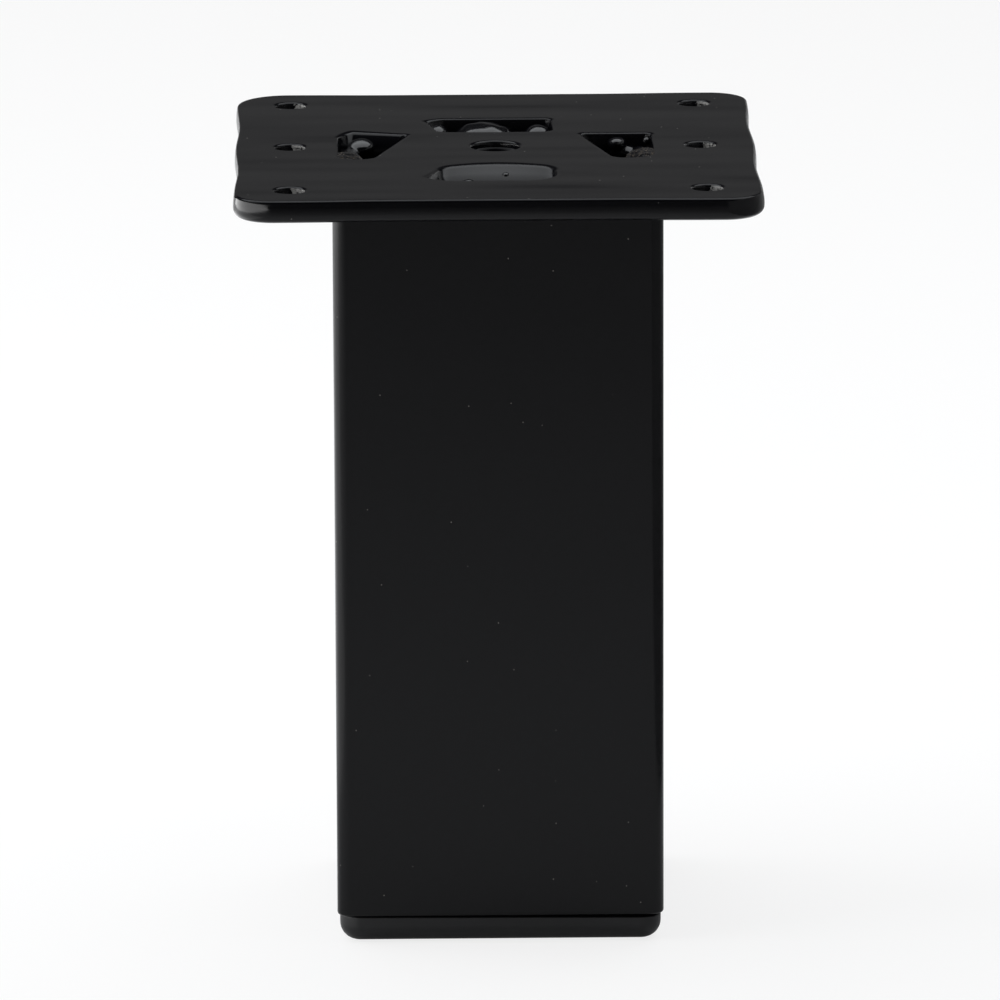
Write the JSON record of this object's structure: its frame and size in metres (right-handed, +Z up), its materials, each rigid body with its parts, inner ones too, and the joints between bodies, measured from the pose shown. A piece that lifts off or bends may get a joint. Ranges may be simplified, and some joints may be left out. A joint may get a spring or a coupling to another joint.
{
  "type": "square metal table leg",
  "caption": "Short square steel furniture leg with a gloss black coat: a rounded square screw plate, a welded square tube and a plastic foot cap.",
  "frame": {"origin": "On the floor, under the middle of the leg, at the middle of the foot cap's underside", "axes": "+Z up the leg to the mounting plate, -Y to the picture's front, +X to the picture's right"},
  "size_m": [0.08, 0.08, 0.12],
  "materials": {
    "black_coat": "thick gloss black baked coat over steel, with a faint orange peel and a few dust specks",
    "cap_plastic": "black moulded polyethylene with a dull skin"
  },
  "bodies": {
    "root": {"mounting_plate": "black_coat", "leg_tube": "black_coat", "weld_front": "black_coat", "weld_right": "black_coat", "weld_back": "black_coat", "weld_left": "black_coat", "foot_cap": "cap_plastic"}
  },
  "joints": []
}
